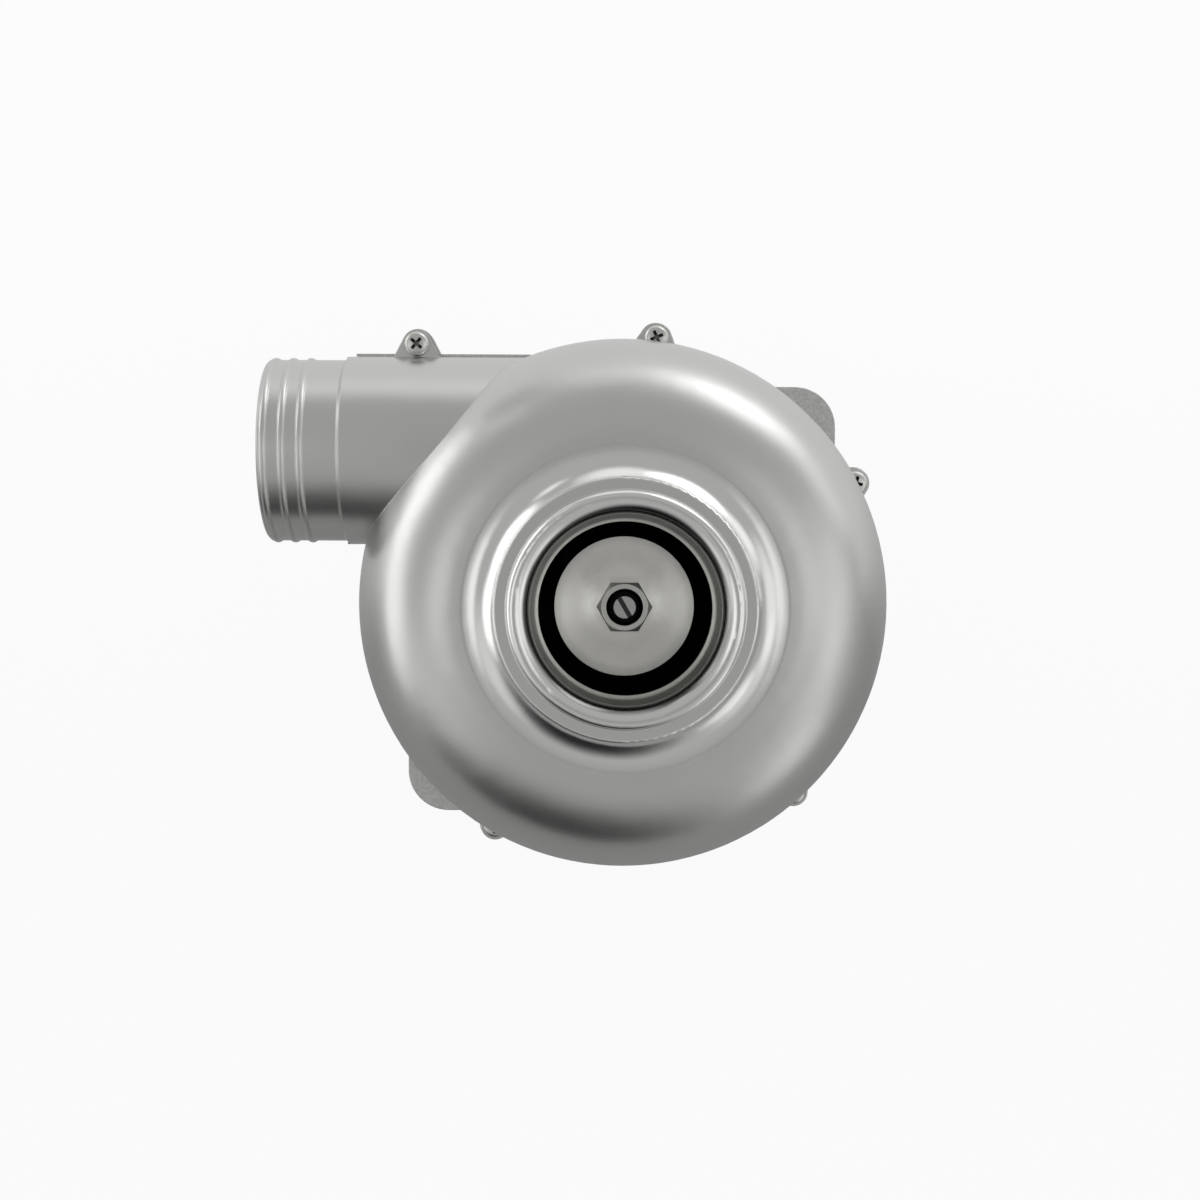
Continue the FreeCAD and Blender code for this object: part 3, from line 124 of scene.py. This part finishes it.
class Finish:
    """One material: its shader, the place on the object in millimetres, and the textures it uses."""

    def __init__(self, name):
        self.material = bpy.data.materials.new(name)
        self.material.use_nodes = True
        self.tree = self.material.node_tree
        self.shader = self.tree.nodes["Principled BSDF"]
        start = Value(self.tree, None)
        place = start.node("ShaderNodeTexCoord", output=3)
        self.place = start.node("ShaderNodeVectorMath", {"operation": "SCALE"},
                                Vector=place, Scale=1.0 / MM)
        self.start = start

    def noise(self, size, detail=3.0, roughness=0.55, place=None):
        """Noise from 0 to 1 whose patches are about size millimetres."""
        return self.start.node("ShaderNodeTexNoise", Vector=place or self.place, Scale=1.0 / size,
                               Detail=detail, Roughness=roughness)

    def stretched(self, x, y, z):
        """The place with each axis divided, so that a texture is drawn out along it."""
        return self.start.node("ShaderNodeVectorMath", {"operation": "MULTIPLY"},
                               **{"0": self.place, "1": (1.0 / x, 1.0 / y, 1.0 / z)})

    def coordinate(self, axis):
        """One coordinate of the place, in millimetres."""
        split = self.start.node("ShaderNodeSeparateXYZ", Vector=self.place)
        item = split.socket.node
        return Value(self.tree, item.outputs["XYZ".index(axis)])

    def distance_from_axis(self):
        """Distance in millimetres from the shaft axis."""
        across, along = self.coordinate("X"), self.coordinate("Y")
        return across.math("SQRT", across * across + along * along)

    def distance_from_line(self, angle):
        """Distance in millimetres from an upright plane through the axis, at a compass angle."""
        across, along = math.sin(math.radians(angle)), math.cos(math.radians(angle))
        side = self.coordinate("X") * across - self.coordinate("Y") * along
        return side.math("ABSOLUTE", side)

    def softened_edges(self, radius):
        """A normal that rounds sharp edges by a radius in millimetres."""
        return self.start.node("ShaderNodeBevel", {"samples": 4}, Radius=radius * MM)

    def colour(self, share, first, second):
        """A mix of two colours: the first where share is 0, the second where it is 1."""
        return self.start.node("ShaderNodeMix", {"data_type": "RGBA"}, output=2,
                               **{"0": share, "6": first, "7": second})

    def bump(self, height, depth, under=None):
        """A bump of depth millimetres where height runs from 0 to 1."""
        inputs = {"Height": height, "Distance": depth * MM, "Strength": 1.0}
        if under is not None:
            inputs["Normal"] = under
        return self.start.node("ShaderNodeBump", **inputs)

    def set(self, **inputs):
        """Fill the shader's sockets and give the finished material."""
        for name, value in inputs.items():
            plug(self.tree, find_input(self.shader, name), value)
        return self.material


# Finishes

def shade(tone, factor):
    """A colour made darker or lighter."""
    return tuple(min(part * factor, 1.0) for part in tone)


def satin_casting(name, tone, grain, rough, polished_radius=None, mouth=None):
    """Cast aluminium with a satin skin; it can be polished round the inlet, with shade painted dark in
    its mouth.

    polished_radius is where the polish ends, and mouth is the inner and outer radius of the painted
    shade.
    """
    finish = Finish(name)
    waves = finish.noise(12.0, detail=2.0)
    cloud = finish.noise(26.0, detail=3.0)
    specks = finish.noise(grain, detail=4.0, roughness=0.65)
    colour = finish.colour(cloud, shade(tone, 0.95), shade(tone, 1.05))
    skin = finish.bump(waves, 0.12, under=finish.softened_edges(0.25))
    skin = finish.bump(specks, 0.006, under=skin)
    radius = finish.distance_from_axis()
    satin = 1.0
    if polished_radius is not None:
        satin = radius.band(polished_radius, polished_radius + 4.0)
        colour = finish.colour(satin, shade(tone, 1.25), colour)
    if mouth is not None:
        inner, outer = mouth
        # Painted shade: the inlet bore is painted nearly black, a little clouded, where shade falls deep
        # in the mouth.
        painted_mouth_shade = radius.band(inner, inner + 0.4) * (1.0 - radius.band(outer - 0.6, outer))
        colour = finish.colour(painted_mouth_shade * (cloud * 0.3 + 0.75).clamp(), colour, shade(tone, 0.12))
    return finish.set(Base_Color=colour, Metallic=1.0, Normal=skin,
                      Roughness=specks * 0.08 + cloud * 0.05 + satin * 0.17 + rough)


def rough_casting(name, tone):
    """Bare sand-cast aluminium: pitted, dull and darker in its pores."""
    finish = Finish(name)
    pits = finish.noise(0.55, detail=5.0, roughness=0.7)
    cloud = finish.noise(7.0)
    colour = finish.colour(pits.band(0.3, 0.7), shade(tone, 0.74), tone)
    skin = finish.bump(cloud, 0.15, under=finish.softened_edges(0.35))
    skin = finish.bump(pits, 0.04, under=skin)
    return finish.set(Base_Color=colour, Metallic=1.0, Roughness=pits * 0.2 + 0.36, Normal=skin)


def turned_metal(name, tone, pitch, depth, rough):
    """Face-turned metal: fine rings round the shaft axis that draw each light out into a wedge."""
    finish = Finish(name)
    radius = finish.distance_from_axis()
    wobble = finish.noise(0.35, detail=2.0) * (pitch * 0.5)
    turns = (radius + wobble) * (2.0 * math.pi / pitch)
    rings = turns.math("SINE", turns) * 0.5 + 0.5
    uneven = finish.noise(2.5)
    colour = finish.colour(uneven, shade(tone, 0.93), tone)
    skin = finish.bump(rings, depth)
    return finish.set(Base_Color=colour, Metallic=1.0, Roughness=uneven * 0.08 + rough, Normal=skin)


def plain_metal(name, tone, rough, grain=0.3, depth=0.004):
    """Machined or drawn metal with fine scratches and slight stains."""
    finish = Finish(name)
    scratches = finish.noise(grain, detail=3.0, place=finish.stretched(1.0, 1.0, 6.0))
    stains = finish.noise(3.0)
    colour = finish.colour(stains, shade(tone, 0.88), tone)
    skin = finish.bump(scratches, depth)
    return finish.set(Base_Color=colour, Metallic=1.0, Roughness=scratches * 0.12 + rough, Normal=skin)


def nut_metal(name, tone, rough, hole):
    """Machined steel whose thread, up to the hole's radius, is painted near-black as shade deep in the
    hole.
    """
    finish = Finish(name)
    scratches = finish.noise(0.3, place=finish.stretched(1.0, 6.0, 1.0))
    # Painted shade: inside the hole's radius the steel is painted near-black.
    beyond_painted_shade = finish.distance_from_axis().band(hole, hole + 0.15)
    stained = finish.colour(finish.noise(2.0), shade(tone, 0.85), tone)
    colour = finish.colour(beyond_painted_shade, PAINTED_SHADE_BLACK, stained)
    skin = finish.bump(scratches, 0.004, under=finish.softened_edges(0.12))
    return finish.set(Base_Color=colour, Metallic=1.0, Roughness=scratches * 0.1 + rough, Normal=skin)


def shaft_metal(name, tone, rough, tip, end_radius, slot_half, slot_depth, slot_angle):
    """Ground steel, with shade painted near-black in the driver slot and on the thread below the tip."""
    finish = Finish(name)
    below_tip = tip - finish.coordinate("Z")
    near_tip = 1.0 - below_tip.band(3.0, 3.4)
    thread = finish.distance_from_axis().band(end_radius - 0.12, end_radius)
    slot = 1.0 - finish.distance_from_line(slot_angle).band(slot_half, slot_half + 0.05)
    # Painted shade: the slot and the thread below the tip are painted near-black, and made rougher.
    painted_thread_shade = (thread + slot * (1.0 - below_tip.band(slot_depth, slot_depth + 0.2))).clamp() * near_tip
    marks = finish.noise(0.25, place=finish.stretched(1.0, 1.0, 0.15))
    metal = finish.colour(marks, shade(tone, 0.82), tone)
    skin = finish.bump(marks, 0.004)
    return finish.set(Base_Color=finish.colour(painted_thread_shade, metal, PAINTED_SHADE_BLACK), Metallic=1.0,
                      Roughness=marks * 0.12 + painted_thread_shade * 0.2 + rough, Normal=skin)


def layered_metal(name, tone, layer):
    """Stacked steel sheets: a fine line at every sheet's edge."""
    finish = Finish(name)
    height = finish.coordinate("Z")
    lines = height.math("SINE", height * (2.0 * math.pi / layer)) * 0.5 + 0.5
    specks = finish.noise(0.5)
    colour = finish.colour(lines, shade(tone, 0.7), tone)
    skin = finish.bump(lines, 0.03)
    return finish.set(Base_Color=colour, Metallic=1.0, Roughness=specks * 0.15 + 0.38, Normal=skin)


def moulded(name, tone, rough, grain=0.25, depth=0.008, coat=0.0):
    """Moulded plastic or rubber with a fine even grain and slight cloudiness."""
    finish = Finish(name)
    specks = finish.noise(grain, detail=3.0)
    cloud = finish.noise(5.0)
    colour = finish.colour(cloud, shade(tone, 0.85), shade(tone, 1.1))
    skin = finish.bump(specks, depth)
    return finish.set(Base_Color=colour, Roughness=specks * 0.12 + rough, Normal=skin, Coat_Weight=coat)


def wound_wire(name, tone, wire):
    """Enamelled wire in close turns."""
    finish = Finish(name)
    height = finish.coordinate("Z")
    turns = height.math("SINE", height * (2.0 * math.pi / wire)) * 0.5 + 0.5
    cloud = finish.noise(1.5)
    colour = finish.colour(turns, shade(tone, 0.6), tone)
    skin = finish.bump(turns, wire * 0.4)
    return finish.set(Base_Color=colour, Metallic=0.8, Roughness=cloud * 0.12 + 0.24, Normal=skin)


FINISHES = {
    "polished_casting": satin_casting("satin_cast_aluminium", (0.66, 0.665, 0.65), grain=0.5, rough=0.07,
                                      polished_radius=24.0, mouth=(14.4, 16.8)),
    "cast_casting": rough_casting("rough_cast_aluminium", (0.70, 0.70, 0.68)),
    "motor_castings": satin_casting("extruded_aluminium", (0.52, 0.53, 0.53), grain=0.3, rough=0.20),
    "gasket_rubber": moulded("gasket_rubber", (0.035, 0.035, 0.035), rough=0.55),
    "black_rubber": moulded("grommet_rubber", (0.03, 0.03, 0.03), rough=0.5),
    "plated_screws": plain_metal("plated_screw_steel", (0.72, 0.72, 0.69), rough=0.22),
    "nut_steel": nut_metal("nut_steel", (0.74, 0.73, 0.69), rough=0.17, hole=2.9),
    "shaft_steel": shaft_metal("ground_steel", (0.56, 0.56, 0.55), rough=0.24,
                               tip=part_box("shaft")[1][2] / MM, end_radius=1.9,
                               slot_half=0.36, slot_depth=0.95, slot_angle=-60.0),
    "bearing_steel": plain_metal("bearing_steel", (0.68, 0.68, 0.68), rough=0.12, depth=0.001),
    "spring_steel": plain_metal("spring_steel", (0.36, 0.36, 0.38), rough=0.3),
    "core_steel": layered_metal("core_sheets", (0.40, 0.40, 0.41), layer=0.5),
    "magnet_grey": plain_metal("magnet_coat", (0.27, 0.27, 0.29), rough=0.4),
    "balance_brass": plain_metal("turned_brass", (0.72, 0.55, 0.28), rough=0.26),
    "coil_copper": wound_wire("enamelled_copper", (0.62, 0.27, 0.10), wire=0.55),
    "white_nylon": moulded("white_nylon", (0.78, 0.77, 0.73), rough=0.42),
    "cage_nylon": moulded("cage_nylon", (0.70, 0.64, 0.52), rough=0.4),
    "board_laminate": moulded("board_lacquer", (0.03, 0.17, 0.08), rough=0.3, coat=0.3),
    "black_plastic": moulded("sensor_epoxy", (0.03, 0.03, 0.03), rough=0.45),
    "impeller_plastic": moulded("black_filled_nylon", (0.006, 0.006, 0.0065), rough=0.55),
    "turned_aluminium": turned_metal("turned_aluminium", (0.80, 0.79, 0.75),
                                     pitch=0.12, depth=0.0100, rough=0.12),
    # The screws' cross recesses are painted dark: painted shade in the recess.
    "driver_recess": plain_metal("driver_recess", (0.20, 0.20, 0.19), rough=0.35),
}


def dress_nodes():
    """Give every CAD node the finish of its record slot."""
    for entry in frame["record"]["subparts"]:
        mesh = NODES[entry["node"]].data
        mesh.materials.clear()
        mesh.materials.append(FINISHES[entry["material_slot"]])


# Screws with a cross recess

SCREW_REACH = 6.0        # points this near to a screw's first one, in millimetres, are its own
FIRST_TURN = 0.4         # radians that the first recess is turned
NEXT_TURN = 0.9          # radians that each next one is turned further
SHARP_ANGLE = 32         # degrees between faces that stay a sharp edge


def spin(outline, steps=48):
    """A solid turned from (radius, height) points in millimetres, from axis to axis."""
    work = bmesh.new()
    turns = [(math.cos(2 * math.pi * k / steps), math.sin(2 * math.pi * k / steps)) for k in range(steps)]
    rings = []
    for radius, height in outline:
        if radius == 0:
            rings.append([work.verts.new((0, 0, height * MM))] * steps)
        else:
            rings.append([work.verts.new((radius * x * MM, radius * y * MM, height * MM))
                          for x, y in turns])
    for low, high in zip(rings, rings[1:]):
        for k in range(steps):
            corners = dict.fromkeys((low[k], low[(k + 1) % steps], high[(k + 1) % steps], high[k]))
            work.faces.new(list(corners))
    return work


def cross_cutter(top, depth, reach, half_width):
    """The driver recess: a cross that narrows from above the head down to its floor."""
    work = bmesh.new()
    rings = []
    mouth = (top + 0.2, reach * 1.12, half_width * 1.08)
    bottom = (top - depth, reach * 0.42, half_width * 0.7)
    for height, long, wide in (mouth, bottom):
        corner = [(long, -wide), (long, wide), (wide, wide)]
        ring = []
        for quarter in range(4):
            spun = Matrix.Rotation(quarter * math.pi / 2, 2)
            ring += [work.verts.new((*(spun @ Vector(point) * MM), height * MM)) for point in corner]
        rings.append(ring)
    low, high = rings[1], rings[0]
    count = len(low)
    for k in range(count):
        work.faces.new((low[k], low[(k + 1) % count], high[(k + 1) % count], high[k]))
    work.faces.new(reversed(low))
    work.faces.new(high)
    # The recess faces take the second material, dark as painted shade.
    for face in work.faces:
        face.material_index = 1
    return work


def made_object(name, work):
    """An object in the scene from a mesh that is being worked on."""
    mesh = bpy.data.meshes.new(name)
    work.to_mesh(mesh)
    work.free()
    item = bpy.data.objects.new(name, mesh)
    bpy.context.scene.collection.objects.link(item)
    return item


def cross_head_screw(radius, length, pitch, head_radius, head_height, shoulder):
    """One pan-head screw that stands on its seat at height 0, with its thread below.

    shoulder is the height of the head's straight side, below its rounded top.
    """
    root_radius, tip_radius = radius * 0.84, radius * 0.75
    unthreaded, chamfer, roundness = 0.4, 0.1, 0.45
    outline = [(0, -length), (tip_radius, -length)]
    for turn in range(int((length - 2 * unthreaded) / pitch)):
        height = -length + unthreaded + turn * pitch
        outline += [(root_radius, height), (radius, height + pitch / 2)]
    outline += [(root_radius, -unthreaded), (root_radius, 0)]
    outline += [(head_radius - chamfer, 0), (head_radius, chamfer)]
    for angle in range(0, 90, 15):
        turn = math.radians(angle)
        outline.append((head_radius * math.cos(turn) ** roundness,
                        shoulder + (head_height - shoulder) * math.sin(turn)))
    outline.append((0, head_height))
    screw = made_object("screw_blank", spin(outline))
    recess = cross_cutter(top=head_height, depth=head_height * 0.7,
                          reach=head_radius * 0.58, half_width=0.27)
    cutter = made_object("recess_cutter", recess)
    for item in (screw, cutter):
        for finish in (FINISHES["plated_screws"], FINISHES["driver_recess"]):
            item.data.materials.append(finish)
    cut = screw.modifiers.new("recess", "BOOLEAN")
    cut.operation, cut.solver, cut.object = "DIFFERENCE", "EXACT", cutter
    mesh = bpy.data.meshes.new_from_object(screw.evaluated_get(bpy.context.evaluated_depsgraph_get()))
    for item in (screw, cutter):
        bpy.data.objects.remove(item)
    return mesh


def standing_places(node):
    """The axis and the lowest and highest points, in millimetres, of each screw in a node."""
    groups = []
    for vertex in NODES[node].data.vertices:
        spot = vertex.co / MM
        near = [group for group in groups if (group[0] - spot).xy.length < SCREW_REACH]
        if near:
            near[0].append(spot)
        else:
            groups.append([spot])
    places = []
    for group in groups:
        low = [min(spot[axis] for spot in group) for axis in range(3)]
        high = [max(spot[axis] for spot in group) for axis in range(3)]
        places.append(((low[0] + high[0]) / 2, (low[1] + high[1]) / 2, low[2], high[2]))
    return places


def fit_screws(name, node, sizes, upside_down):
    """Put cross-head screws where a node's plain ones stand, each turned to an angle of its own."""
    master = cross_head_screw(**sizes)
    work = bmesh.new()
    for number, (x, y, bottom, top) in enumerate(standing_places(node)):
        head = sizes["head_height"]
        seat = bottom + head if upside_down else top - head
        turn = Matrix.Rotation(FIRST_TURN + NEXT_TURN * number, 4, "Z")
        place = Matrix.Translation(Vector((x, y, seat)) * MM) @ turn
        if upside_down:
            place = place @ Matrix.Rotation(math.pi, 4, "X")
        before = set(work.verts)
        work.from_mesh(master)
        added = [vertex for vertex in work.verts if vertex not in before]
        bmesh.ops.transform(work, matrix=place, verts=added)
    for face in work.faces:
        face.smooth = True
    item = made_object(name, work)
    item.data.set_sharp_from_angle(angle=math.radians(SHARP_ANGLE))
    for finish in (FINISHES["plated_screws"], FINISHES["driver_recess"]):
        item.data.materials.append(finish)
    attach(item, "casing")
    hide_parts(node)


CASING_SCREW = {"radius": 1.25, "length": 5.6, "pitch": 0.5,
                "head_radius": 2.1, "head_height": 1.4, "shoulder": 0.45}
END_SCREW = {"radius": 1.5, "length": 9.0, "pitch": 0.5,
             "head_radius": 2.75, "head_height": 2.05, "shoulder": 0.9}


# Lights, floor and camera

# Lighter and darker parts of the room: name, compass angle from +X, angle from straight up,
# half width, and how much they add to the light of the walls. Angles are in degrees.
WALL_LIGHT = 0.45
ROOM_PATCHES = (
    ("middle_ceiling", 0.0, 0.0, 20.0, -0.10),
    ("left_ceiling", 180.0, 27.0, 17.0, 0.60),
    ("right_ceiling", 2.0, 27.0, 17.0, 0.52),
    ("right_window", 0.0, 58.0, 26.0, 0.45),
    ("front_right_window", 330.0, 56.0, 24.0, 0.25),
    ("front_left_window", 208.0, 54.0, 26.0, 0.25),
    ("back_left_strip", 123.0, 66.0, 9.0, 0.50),
    ("low_right_window", 30.0, 85.0, 22.0, 0.60),
    ("low_back_window", 60.0, 85.0, 23.0, 2.00),
    ("low_back_wall", 92.0, 85.0, 24.0, 0.50),
    ("low_left_window", 150.0, 85.0, 23.0, 1.50),
    ("low_left_wall", 182.0, 85.0, 26.0, 1.10),
    ("low_front_right_window", 318.0, 75.0, 18.0, 0.42),
    ("dark_front", 254.0, 86.0, 50.0, -0.43),
)


def towards(compass, from_top):
    """A unit direction from its compass angle and its angle from straight up."""
    compass, from_top = math.radians(compass), math.radians(from_top)
    across = math.sin(from_top)
    return (across * math.cos(compass), across * math.sin(compass), math.cos(from_top))


def studio():
    """A grey room with soft windows and a dark front; the camera sees it as plain white."""
    scene = bpy.context.scene
    scene.view_settings.view_transform = "Standard"
    world = bpy.data.worlds.new("studio")
    scene.world = world
    world.use_nodes = True
    background = world.node_tree.nodes["Background"]
    start = Value(world.node_tree, None)
    direction = start.node("ShaderNodeTexCoord", output=0)
    light = WALL_LIGHT
    for _, compass, from_top, half_width, change in ROOM_PATCHES:
        facing = start.node("ShaderNodeVectorMath", {"operation": "DOT_PRODUCT"}, output=1,
                            **{"0": direction, "1": towards(compass, from_top)})
        light = light + change * facing.band(math.cos(math.radians(half_width)), 1.0)
    seen = start.node("ShaderNodeLightPath", output=0)
    room = light.math("MAXIMUM", light, 0.0)
    plug(world.node_tree, background.inputs["Color"], room * (1.0 - seen) + seen)


def floor():
    """A white floor that keeps the shadow; metal sees it dark in front and pale at the back."""
    mesh = bpy.data.meshes.new("floor")
    reach = 3.0
    gap_below = 0.2 * MM
    mesh.from_pydata([(-reach, -reach, 0), (reach, -reach, 0), (reach, reach, 0), (-reach, reach, 0)], [],
                     [(0, 1, 2, 3)])
    item = bpy.data.objects.new("floor", mesh)
    item.location.z = -gap_below
    bpy.context.scene.collection.objects.link(item)
    finish = Finish("pale_floor")
    tree = finish.tree
    white = finish.start.node("ShaderNodeEmission", Color=(1.0, 1.0, 1.0), Strength=1.0)
    front, back = -40.0, 80.0
    towards_back = finish.coordinate("Y").band(front, back)
    dark_grey, pale_grey = (0.45, 0.45, 0.45), (0.92, 0.92, 0.92)
    grey = finish.colour(towards_back, dark_grey, pale_grey)
    finish.set(Base_Color=grey, Roughness=0.9)
    path = finish.start.node("ShaderNodeLightPath").socket.node
    seen, mirrored, through = (Value(tree, path.outputs[ray])
                               for ray in ("Is Camera Ray", "Is Glossy Ray", "Is Transmission Ray"))
    white_to_camera = 0.94
    white_in_metal = towards_back * 0.45 + 0.06
    share = seen * white_to_camera + (mirrored + through) * white_in_metal
    mixed = finish.start.node("ShaderNodeMixShader", Fac=share,
                              **{"1": Value(tree, finish.shader.outputs[0]), "2": white})
    tree.links.new(mixed.socket, tree.nodes["Material Output"].inputs["Surface"])
    mesh.materials.append(finish.material)


def camera():
    """The camera, fitted to the photograph."""
    data = bpy.data.cameras.new("camera")
    item = bpy.data.objects.new("camera", data)
    bpy.context.scene.collection.objects.link(item)
    focal_pixels, frame_pixels, film = 1732.0, 1200.0, 36.0
    data.sensor_width = film
    data.lens = film * focal_pixels / frame_pixels
    data.clip_end = 10.0
    item.location = (-7.21 * MM, 15.33 * MM, 353.4 * MM)
    item.rotation_euler = Euler((-0.0498, -0.0109, 0.0042), "XYZ")
    bpy.context.scene.camera = item


dress_nodes()
fit_screws("casing_screws_cross_head", "casing_screws", CASING_SCREW, upside_down=False)
fit_screws("end_cap_screws_cross_head", "end_cap_screws", END_SCREW, upside_down=True)
studio()
floor()
camera()
